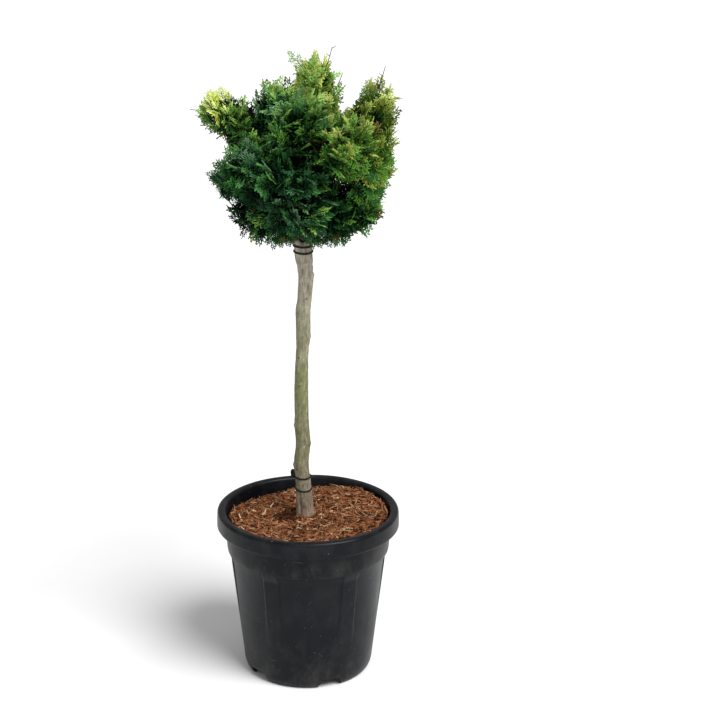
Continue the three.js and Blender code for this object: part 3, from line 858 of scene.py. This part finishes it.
def bare_twig(sprays, foot, tip, stubs):
    """A thin twig without leaves, with a few short stubs."""
    sprays.join(foot)
    sprays.twig(foot, (foot + tip) / 2 + np.array([1.5 * MM, 0, 0]), tip, BARE_TWIG)
    along = unit(tip - foot)
    for k in range(stubs):
        start = foot + (0.35 + 0.3 * k) * (tip - foot)
        side = np.array([(-1) ** k * 6 * MM, 0, 3 * MM])
        sprays.twig(start, start + side * 0.5, start + side + along * 1.5 * MM, STUB)


def free_sprig(sprays, foot, tip, yellow, fans, fan_length, tone):
    """A small open sprig whose stalk starts in a mass, and whose fans reach past it as far as tip."""
    sprays.join(foot)
    along, face = unit(tip - foot), np.array([0.1, -0.8, 0.6])
    face = unit(face - along * np.dot(face, along))
    side = np.cross(face, along)
    end = tip - along * fan_length
    sprays.twig(foot, (foot + end) / 2, end, FREE_STALK)
    for k in range(fans):
        share = 0.45 + 0.55 * k / max(1, fans - 1)
        turn = 0.0 if k == fans - 1 else (1 if k % 2 else -1) * math.radians(44)
        way = unit(along * math.cos(turn) + side * math.sin(turn))
        palette = fan_palette(yellow, 0.6)
        sprays.fan(foot + share * (end - foot), way, face, fan_length, palette, tone, CLEAR)


# Bare twigs that stand clear of the outline: mass, foot and tip as shares of its box, and stubs.
BARE_TWIGS = [
    ("foliage_centre_peak", (0.62, 0.74), (0.78, 1.06), 3),
    ("foliage_right_horn", (0.42, 0.7), (0.66, 1.3), 2),
    ("foliage_centre_peak", (0.85, 0.5), (1.0, 0.72), 1),
]
HORN_TWIGS = [
    ("foliage_left_horn", (0.16, 0.63), (-0.13, 0.66), 1),
    ("foliage_left_horn", (0.16, 0.53), (-0.06, 0.56), 1),
]
# Free sprigs: mass, foot and tip as shares of its box, warmth, fans, their length in fans, and tone.
FREE_SPRIGS = [
    ("foliage_left_horn", (0.3, 0.5), (0.02, 0.56), 0.4, 4, 0.46, 0.5),
    ("foliage_left_horn", (0.36, 0.7), (0.3, 1.04), 0.9, 5, 0.5, 0.62),
    ("foliage_centre_peak", (0.35, 0.66), (-0.14, 1.0), 0.66, 5, 0.46, 0.6),
    ("foliage_right_horn", (0.4, 0.5), (0.16, 0.98), 0.62, 5, 0.5, 0.5),
]
SHOULDER_SPRIGS = [("foliage_left_shoulder", (0.35, 0.4), (-0.04, 0.62), 0.3, 5, 0.46, 0.4)]
HANGING = {"foliage_low_left": (0.6, 0.7, 0.8), "foliage_low_right": (0.1, 0.2, 0.32)}


def add_accents(sprays):
    """The few shoots and bare twigs that stand clear of the crown's outline."""
    for twigs, sprigs in ((HORN_TWIGS, FREE_SPRIGS), (BARE_TWIGS, SHOULDER_SPRIGS)):
        for node, foot, tip, stubs in twigs:
            bare_twig(sprays, in_box(node, *foot), in_box(node, *tip), stubs)
        for node, foot, tip, yellow, fans, size, tone in sprigs:
            free_sprig(sprays, in_box(node, *foot), in_box(node, *tip), yellow, fans, size * FAN_LENGTH, tone)
    for node, places in HANGING.items():
        for across in places:
            start = in_box(node, across, 0.2, 0.3)
            drop = np.array([0, 0, -rng.uniform(24, 30) * MM])
            free_sprig(sprays, start, start + drop, 0.3, 5, 0.55 * FAN_LENGTH, 0.42)
    close_flank(sprays)


def close_flank(sprays):
    """Sprigs that close the gap between the right flank and the mass under it."""
    flank = "foliage_right_flank"
    for up in (0.14, 0.03, -0.08, -0.18):
        for deep in (0.12, 0.3, 0.48, 0.66, 0.84):
            across = 0.86 + 0.55 * up - 0.5 * (deep - 0.5) ** 2 + rng.normal(0, 0.035)
            tip = in_box(flank, across, up + rng.normal(0, 0.04), deep + rng.normal(0, 0.04))
            foot = in_box(flank, across - 0.34, up + 0.2, deep)
            free_sprig(sprays, foot, tip, rng.uniform(0.3, 0.66), 5, 0.8 * FAN_LENGTH, rng.uniform(0.3, 0.52))


def fill_inside(sprays):
    """Dark fans inside the crown, in the darkest shades as painted shade, so that no light comes straight
    through it.
    """
    low, high = np.array(CROWN_LOW), np.array(CROWN_HIGH)
    count = 0
    while count < INNER_FANS:
        point = low + rng.random(3) * (high - low)
        along = unit(unit(point - HEART) + rng.normal(0, 0.6, 3))
        face = unit(np.cross(along, rng.normal(0, 1, 3)))
        length = 1.3 * FAN_LENGTH
        tip, side = point + along * (length + INNER_MARGIN), np.cross(face, along) * 0.5 * length
        corners = (point, tip, point + side, point - side, tip + side, tip - side)
        if not all(inside_crown(corner) for corner in corners):
            continue
        count += 1
        sprays.join(point)
        sprays.fan(point, along, face, length, "green", rng.uniform(0.0, 0.18))


def twig_finish():
    bark = Finish("twig_bark", colour(60, 52, 30), 0.8, 0.15)
    shade = bark.ramp(bark.noise(180, 4), (0.35, colour(32, 34, 18)), (0.65, colour(62, 60, 34)))
    bark.paint("Base Color", shade)
    bark.bump(bark.noise(900, 4), 0.3 * MM, 0.5)
    return bark


def add_twigs(sprays, branches):
    finish = twig_finish()
    for name, lines, sides in (("twigs", sprays.twigs, 4), ("branches", branches, 6)):
        paths, first, last = (np.array(part) for part in zip(*lines))
        verts, faces = tubes(paths, np.linspace(first, last, paths.shape[1], axis=1), sides)
        add_piece(name, verts, faces, finish, smooth_shading=name == "branches")


sprays = Sprays()
inner_branches = grow_crown(sprays)
fill_inside(sprays)
add_accents(sprays)
add_leaves(sprays)
add_twigs(sprays, inner_branches)


# ---------- pot ----------
BODY_FOOT = 0.1117  # radius above the feet
BODY_TOP = 0.1326
PANELS = 6
PANEL_HALF = 22.5  # degrees from a panel's middle to its edge
PANEL_TURN = 3.5
PANEL_DEPTH = 3.4 * MM
NOTCHES = 5
NOTCH_TURN = 22
NOTCH_HEIGHT = 16 * MM
PANEL_TOP = 0.218  # a ledge on the slope of the neck
POT_RADIUS = POT_HIGH.x
PLATE = 11 * MM  # height of the underside between the feet
WALL = 2.6 * MM
INSIDE_POINTS = 9


def body_radius(z):
    """Radius of the pot's straight taper at a height."""
    return BODY_FOOT + (BODY_TOP - BODY_FOOT) * (z - 0.015) / 0.185


def pot_outline():
    """[radius, height] pairs from the underside, up the outside, over the rim and down inside."""
    top = POT_HIGH.z
    wall = [(body_radius(z), z) for z in np.linspace(0.016, 0.196, 30)]
    slope = [(0.1324, 0.1990), (0.1327, 0.2030), (0.1336, 0.2055), (0.1350, 0.2090), (0.1368, 0.2130),
             (0.1377, PANEL_TOP - 0.0022), (0.1382, PANEL_TOP - 0.0010), (0.1384, PANEL_TOP)]
    neck = [(0.1386, PANEL_TOP + 0.0006), (0.1394, 0.2215), (0.1401, 0.2270), (0.1404, 0.2330),
            (0.1410, 0.2480), (0.1416, 0.2640), (0.1420, 0.2800), (0.1424, 0.2826), (0.1440, 0.2836)]
    skirt = [(POT_RADIUS - 0.0035, 0.2836), (POT_RADIUS - 0.0022, 0.2826), (POT_RADIUS - 0.0020, 0.2800),
             (POT_RADIUS - 0.0018, 0.2642), (POT_RADIUS - 0.0014, 0.2624), (POT_RADIUS - 0.0006, 0.2621),
             (POT_RADIUS, 0.2630), (POT_RADIUS, 0.2660), (POT_RADIUS, 0.2730), (POT_RADIUS - 0.0004, 0.2800)]
    roll = [(POT_RADIUS - 0.0052 + 0.0046 * math.cos(a), top - 0.0056 + 0.0056 * math.sin(a))
            for a in np.linspace(0, math.pi / 2, 7)]
    lip = [(0.1480, top + 0.0001), (0.1448, top - 0.0002), (0.1430, top - 0.0009), (0.1418, top - 0.0024),
           (0.1412, top - 0.0045)]
    inside = [(0.1400, 0.2780), (0.1390, 0.2640), (0.1384, 0.2480), (0.1378, 0.2330), (0.1368, 0.2215),
              (0.1340, 0.2110), (0.1306, 0.2010), (0.1200, 0.1000), (0.1100, PLATE + WALL)]
    foot = [(0.0320, 0.0), (0.0350, PLATE), (0.0970, PLATE), (0.0982, 0.0100), (0.0988, 0.0016),
            (0.0998, 0.0), (0.1035, 0.0), (0.1062, 0.0014), (0.1086, 0.0045), (0.1104, 0.0090),
            (0.1114, 0.0135)]
    return np.array(foot + wall + slope + neck + skirt + roll + lip + inside)


def angle_from(turn, middle, repeats):
    """Degrees between a turn and the nearest of several equally spaced places."""
    pitch = 360 / repeats
    off = np.degrees(turn) - middle
    return np.abs(off - pitch * np.round(off / pitch))


def pot_mesh():
    outline = pot_outline()
    turn = round_angles(POT_SIDES)  # from the front, -Y, towards +X
    radius = np.repeat(outline[:, :1], POT_SIDES, 1)
    height = np.repeat(outline[:, 1:], POT_SIDES, 1)
    outer = np.arange(len(outline))[:, None] < len(outline) - INSIDE_POINTS
    across = 1 - smooth(angle_from(turn, PANEL_TURN, PANELS), PANEL_HALF - 0.3, PANEL_HALF + 0.9)
    below_ledge = 1 - smooth(height, PANEL_TOP - 0.0012, PANEL_TOP + 0.0001)
    upward = smooth(height, 0.058, PANEL_TOP - 0.03) * below_ledge
    slope = np.maximum(0, radius - body_radius(height)) * below_ledge
    radius = radius - (PANEL_DEPTH * upward + slope) * across[None] * outer
    # The two narrow ribs beside each panel stand a little proud of the wall.
    rib = np.exp(-((angle_from(turn, PANEL_TURN, PANELS) - PANEL_HALF - 1.9) / 1.0) ** 2)
    radius = radius + 0.5 * MM * rib[None] * upward * outer
    aside = np.radians(angle_from(turn, NOTCH_TURN, NOTCHES))[None] * radius
    arch = np.clip((20.5 * MM - aside) / (7.5 * MM), 0, 1)
    arch = NOTCH_HEIGHT * np.minimum(1, 1.6 * arch)
    feet = (outline[:, :1] > 0.0975) & (outline[:, 1:] < NOTCH_HEIGHT) & outer
    height = np.where(feet, np.maximum(height, arch), height)
    # A thin moulding's lip is never quite flat or round.
    waver = 0.35 * MM * np.sin(3 * turn + 0.4) + 0.2 * MM * np.sin(7 * turn)
    height = height + waver[None] * (outline[:, 1:] > 0.28)
    radius = np.minimum(radius * (1 + 0.0012 * np.sin(2 * turn + 1.0))[None], POT_RADIUS + 0.3 * MM)
    rings = np.stack([radius * np.sin(turn), -radius * np.cos(turn), height], -1)
    return loft(rings, np.zeros(3), np.array([0, 0, PLATE + WALL]))


def pot_finish():
    plastic = Finish("pot_plastic", colour(6, 8, 13), 0.37, 0.17)
    grime = plastic.noise(9, 6, (1, 1, 0.6), 0.62, 0.4)
    shade = plastic.ramp(grime, (0.34, colour(4, 6, 11)), (0.55, colour(7, 10, 16)),
                         (0.7, colour(15, 17, 20)))
    height = plastic.position("Z")
    near_ground = plastic.ramp(height, (0.0, 0.4), (0.06, 0.12), (0.15, 0.02))
    under_rim = plastic.ramp(height, (0.216, 0.0), (0.222, 0.28), (0.262, 0.08))
    dusty = plastic.ramp(plastic.noise(34, 8, (1, 1, 0.7), 0.68), (0.45, 0.0), (0.7, 1.0))
    dust = plastic.maths("MULTIPLY", plastic.maths("ADD", near_ground, under_rim), dusty)
    shade = plastic.mix(dust, shade, colour(76, 74, 66))
    film = plastic.maths("MULTIPLY", dusty, 0.035)
    shade = plastic.mix(film, shade, colour(88, 92, 100))
    specks = plastic.ramp(plastic.noise(240, 2, (1, 1, 1), 0.5), (0.735, 0.0), (0.76, 0.6))
    shade = plastic.mix(specks, shade, colour(120, 118, 112))
    scratch = plastic.ramp(plastic.noise(70, 4, (0.25, 0.25, 2.6), 0.6, 1.2), (0.7, 0.0), (0.74, 0.3))
    plastic.paint("Base Color", plastic.mix(scratch, shade, colour(104, 106, 108)))
    plastic.paint("Roughness", plastic.ramp(grime, (0.3, 0.28), (0.7, 0.46)))
    plastic.bump(plastic.noise(800, 3), 0.1 * MM, 0.3)
    return plastic


def add_pot():
    verts, faces = pot_mesh()
    add_piece("pot_shell", verts, faces, pot_finish(), ["pot"], smooth_shading=True)


# ---------- mulch ----------
MULCH_RADIUS = 0.1375
CHIP_SHADES = {
    "dark": (74, 39, 18), "rust": (134, 84, 52), "brown": (112, 70, 44), "tan": (158, 116, 84),
    "straw": (196, 166, 132), "damp": (42, 25, 13),
}
CHIP_SHARES = [0.2, 0.27, 0.26, 0.2, 0.03, 0.04]
MEDIUM = tree_of(["growing_medium"])


def medium_height(x, y):
    hit = MEDIUM.ray_cast(Vector((x, y, POT_HIGH.z + 0.1)), Vector((0, 0, -1)))
    return hit[0].z if hit[0] is not None else SOIL_TOP


def add_mulch_bed():
    """The lumpy surface under the loose shreds, with a skirt down inside the wall."""
    sides, count = 120, 34
    turn = round_angles(sides)
    out = np.linspace(0.003, MULCH_RADIUS, count)
    height = np.array([[medium_height(min(r, 0.134) * math.cos(t), min(r, 0.134) * math.sin(t)) for t in turn]
                       for r in out])
    share, way = angle_grid(np.linspace(0, 1, count), turn)
    lumps = (1.6 * lattice_noise(way, share, 26, 9, 61) + 1.2 * lattice_noise(way, share, 60, 20, 62)
             + 0.8 * lattice_noise(way, share, 110, 33, 63))
    height = height - 1.5 * MM + lumps * MM
    rings = circles(np.zeros(2), np.repeat(out[:, None], sides, 1), turn, height)[::-1]
    skirt = rings[:1].copy()
    skirt[..., 2] -= 0.02
    skirt[..., :2] *= 0.985
    verts, faces = loft(np.concatenate([skirt, rings]))
    bed = Finish("mulch_bed", colour(70, 40, 24), 0.95, 0.15)
    shade = bed.ramp(bed.noise(160, 8, (1, 1, 1), 0.7), (0.3, colour(28, 15, 9)), (0.5, colour(84, 47, 27)),
                     (0.7, colour(128, 80, 50)))
    bed.paint("Base Color", shade)
    bed.bump(bed.noise(420, 6), 1.2 * MM, 0.9)
    add_piece("mulch_bed", verts, faces, bed, ["growing_medium"], smooth_shading=True)


def turned(a, b, angle):
    """Two coordinates of each chip after a turn by its own angle."""
    cos, sin = np.cos(angle)[:, None, None], np.sin(angle)[:, None, None]
    return a * cos - b * sin, a * sin + b * cos


def chip_arrays(count):
    """Bent, splintered strips of bark lying on the bed: (chips, 3, 3, 3) sections of three corners."""
    length = np.clip(rng.lognormal(math.log(8.5), 0.5, count), 3, 34) * MM
    slender = rng.uniform(0.08, 0.4, count)
    width = np.clip(length * slender, 0.7 * MM, 3.6 * MM)
    thick = width * rng.uniform(0.25, 0.6, count)
    reach = (MULCH_RADIUS - 2 * MM) * np.sqrt(rng.random(count))
    turn = rng.random(count) * 2 * np.pi
    stem = centre_at(SOIL_TOP)
    x, y = reach * np.cos(turn), reach * np.sin(turn)
    close = np.hypot(x - stem[0], y - stem[1]) < 18 * MM
    yaw = np.where((reach + length / 2 > MULCH_RADIUS) | close, turn + np.pi / 2 + rng.normal(0, 0.25, count),
                   rng.random(count) * 2 * np.pi)
    pitch = rng.normal(0, 0.16, count)
    roll = rng.normal(0, 0.5, count)
    base = np.array([medium_height(a * 0.98, b * 0.98) for a, b in zip(x, y)])
    base = base + rng.uniform(-0.6, 2.6, count) * MM
    base = base + np.abs(np.sin(pitch)) * length * 0.35
    section = np.array([-0.5, 0.05, 0.5])
    taper = np.stack([rng.uniform(*ends, count) for ends in ((0.15, 0.7), (0.8, 1.1), (0.1, 0.6))], 1)
    bend = rng.normal(0, 0.09, (count, 1)) * length[:, None] * (section ** 2 * 4 - 0.5)
    wander = rng.normal(0, 0.06, (count, 3)) * length[:, None]
    corners = np.array([[-1, -0.7], [1, -0.7], [0.1, 1]]) / 2
    local = np.zeros((count, 3, 3, 3))
    local[..., 0] = (section[None] * length[:, None])[..., None]
    local[..., 1] = corners[:, 0] * (width[:, None] * taper)[..., None] + wander[..., None]
    local[..., 2] = corners[:, 1] * (thick[:, None] * taper)[..., None] + bend[..., None]
    a, b, c = local[..., 0], local[..., 1], local[..., 2]
    b, c = turned(b, c, roll)
    a, c = turned(a, c, pitch)
    a, b = turned(a, b, yaw)
    placed = np.stack([a + x[:, None, None], b + y[:, None, None], c + base[:, None, None]], -1)
    flat = np.linalg.norm(placed[..., :2], axis=-1, keepdims=True)
    placed[..., :2] *= np.minimum(1, MULCH_RADIUS / np.maximum(flat, 1e-6))
    return placed


def chip_faces():
    faces = [[0, 2, 1], [6, 7, 8]]
    for k in (0, 3):
        for c in range(3):
            n = (c + 1) % 3
            faces += [[k + c, k + n, k + 3 + n], [k + c, k + 3 + n, k + 3 + c]]
    return np.array(faces)


def add_chips():
    chips = chip_arrays(CHIPS)
    kinds = rng.choice(len(CHIP_SHADES), CHIPS, p=CHIP_SHARES)
    # The mulch is darker in a patch just left of the foot of the stem.
    middle = chips.reshape(CHIPS, -1, 3).mean(1)
    dark_patch = np.hypot(middle[:, 0] + 0.036, middle[:, 1] + 0.016) < 0.022 * rng.uniform(0.6, 1.3, CHIPS)
    kinds[dark_patch] = np.where(rng.random(dark_patch.sum()) < 0.5, 5, 0)
    for number, (name, shade) in enumerate(CHIP_SHADES.items()):
        chosen = chips[kinds == number].reshape(-1, 9, 3)
        faces = copies(chip_faces(), len(chosen), 9)
        finish = Finish(f"chip_{name}", colour(*shade), 0.9, 0.1)
        add_piece(f"chips_{name}", chosen.reshape(-1, 3), faces, finish, ["growing_medium"])


# ---------- ties ----------
KNOT_TUBE = 2.3 * MM
KNOT_SHIFT = np.array([3.5 * MM, 0, -3 * MM])  # it leans on the stem
TIE_SAGS = {"tie_low": 1.9 * MM, "tie_foot": 0.4 * MM, "tie_graft": 0.8 * MM, "tie_top": -0.5 * MM}


def band(z, sag, sides=72, ring=10):
    """A thin elastic band drawn tight round the stem, lower at the front by sag."""
    angle = round_angles(sides)
    height = z + sag * np.sin(angle) + 0.4 * MM * np.sin(2 * angle + 1)
    radius = np.array([radius_at(h, a) for h, a in zip(height, angle)])
    middle = trunk_centre(height)
    section = round_angles(ring)
    out = radius[:, None] + 1.1 * MM + 0.9 * MM * np.cos(section)
    rings = circles(middle[:, None], out, angle[:, None], height[:, None] + 1.5 * MM * np.sin(section))
    a = np.arange(sides)[:, None]
    b = (a + 1) % sides
    c = np.arange(ring)
    d = (c + 1) % ring
    quads = np.stack([a * ring + c, a * ring + d, b * ring + d, b * ring + c], -1).reshape(-1, 4)[:, ::-1]
    return rings.reshape(-1, 3), halved(quads)


def knot():
    """A loop that stands on tie_foot at the left of the stem, with a short tail."""
    low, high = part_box("tie_knot")
    middle = (np.array(low) + np.array(high)) / 2 + KNOT_SHIFT
    wide, tall = (high.x - low.x) / 2 - KNOT_TUBE, (high.z - low.z) / 2 - KNOT_TUBE
    t = np.linspace(-1.2, 2 * np.pi - 1.9, 26)
    loop = np.stack([middle[0] + wide * np.cos(t), middle[1] + 1.8 * MM * np.sin(t / 2),
                     middle[2] + tall * np.sin(t)], -1)
    to_band = bezier(loop[0], loop[0] + [1.5 * MM, 0, -1 * MM], loop[0] + [3 * MM, 1 * MM, -2 * MM], 26)
    end = loop[-1]
    tail = bezier(end, end + [-1 * MM, -2 * MM, -1 * MM], end + [-2.5 * MM, -3 * MM, -3 * MM], 26)
    paths = np.stack([loop, to_band, tail])
    return tubes(paths, np.full(paths.shape[:2], KNOT_TUBE), 8)


def add_ties():
    rubber = Finish("tie_rubber", colour(12, 12, 14), 0.6, 0.25)
    rubber.paint("Roughness", rubber.ramp(rubber.noise(300, 3), (0.3, 0.45), (0.7, 0.68)))
    rubber.bump(rubber.noise(900, 3), 0.15 * MM, 0.4)
    parts = []
    for node, sag in TIE_SAGS.items():
        low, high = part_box(node)
        parts.append(band((low.z + high.z) / 2, sag))
    parts.append(knot())
    verts, faces = join(parts)
    add_piece("stem_ties", verts, faces, rubber, [*TIE_SAGS, "tie_knot"], smooth_shading=True)


add_pot()
add_mulch_bed()
add_chips()
add_ties()


# ---------- floor, light and camera ----------
def add_floor():
    radius, sides = 30.0, 64
    verts = [(radius * math.cos(a), radius * math.sin(a), -0.5 * MM) for a in round_angles(sides)]
    mesh = bpy.data.meshes.new("floor")
    mesh.from_pydata(verts, [], [tuple(range(sides))])
    floor = bpy.data.objects.new("floor", mesh)
    bpy.context.scene.collection.objects.link(floor)
    paper = Finish("floor_paper", colour(238, 238, 238), 0.9, 0.1)
    shade = paper.ramp(paper.noise(3.0, 2), (0.3, colour(236, 236, 236)), (0.7, colour(240, 240, 240)))
    paper.paint("Base Color", shade)
    mesh.materials.append(paper.material)


def add_light(data, place, target, power):
    """Puts a light at a place, turned towards a target."""
    data.energy = power
    light = bpy.data.objects.new(data.name, data)
    light.location = place
    light.rotation_euler = (Vector(target) - Vector(place)).to_track_quat("-Z", "Y").to_euler()
    bpy.context.scene.collection.objects.link(light)


def add_lights():
    sun = bpy.data.lights.new("key", "SUN")
    sun.angle = math.radians(35)
    add_light(sun, (1.1, -1.05, 1.9), (0, 0, 0), 3.6)
    disk = bpy.data.lights.new("fill", "AREA")
    disk.shape = "DISK"
    disk.size = 1.6
    add_light(disk, (-2.0, -2.4, 1.4), (0, 0, 0.65), 5)


def add_world(strength):
    world = bpy.data.worlds.new("studio")
    world.use_nodes = True
    sky = world.node_tree.nodes["Background"]
    sky.inputs["Color"].default_value = (1, 1, 1, 1)
    sky.inputs["Strength"].default_value = strength
    bpy.context.scene.world = world


def add_camera():
    """Level with the top of the crown, looking down a little, with the plant left of the middle."""
    place, pitch, roll = Vector((0.087, -2.779, 1.461)), math.radians(18.01), math.radians(0.47)
    data = bpy.data.cameras.new("camera")
    data.sensor_width = 36.0
    data.lens = 87.35
    camera = bpy.data.objects.new("camera", data)
    forward = Vector((0, math.cos(pitch), -math.sin(pitch)))
    upright = Vector((0, math.sin(pitch), math.cos(pitch)))
    right = Vector((1, 0, 0)) * math.cos(roll) + upright * math.sin(roll)
    up = upright * math.cos(roll) - Vector((1, 0, 0)) * math.sin(roll)
    turn = Matrix((right, up, -forward)).transposed().to_4x4()
    camera.matrix_world = Matrix.Translation(place) @ turn
    bpy.context.scene.collection.objects.link(camera)
    bpy.context.scene.camera = camera


add_floor()
add_lights()
add_world(0.46)
add_camera()
bpy.context.scene.view_settings.view_transform = "Standard"
bpy.context.scene.view_settings.look = "None"
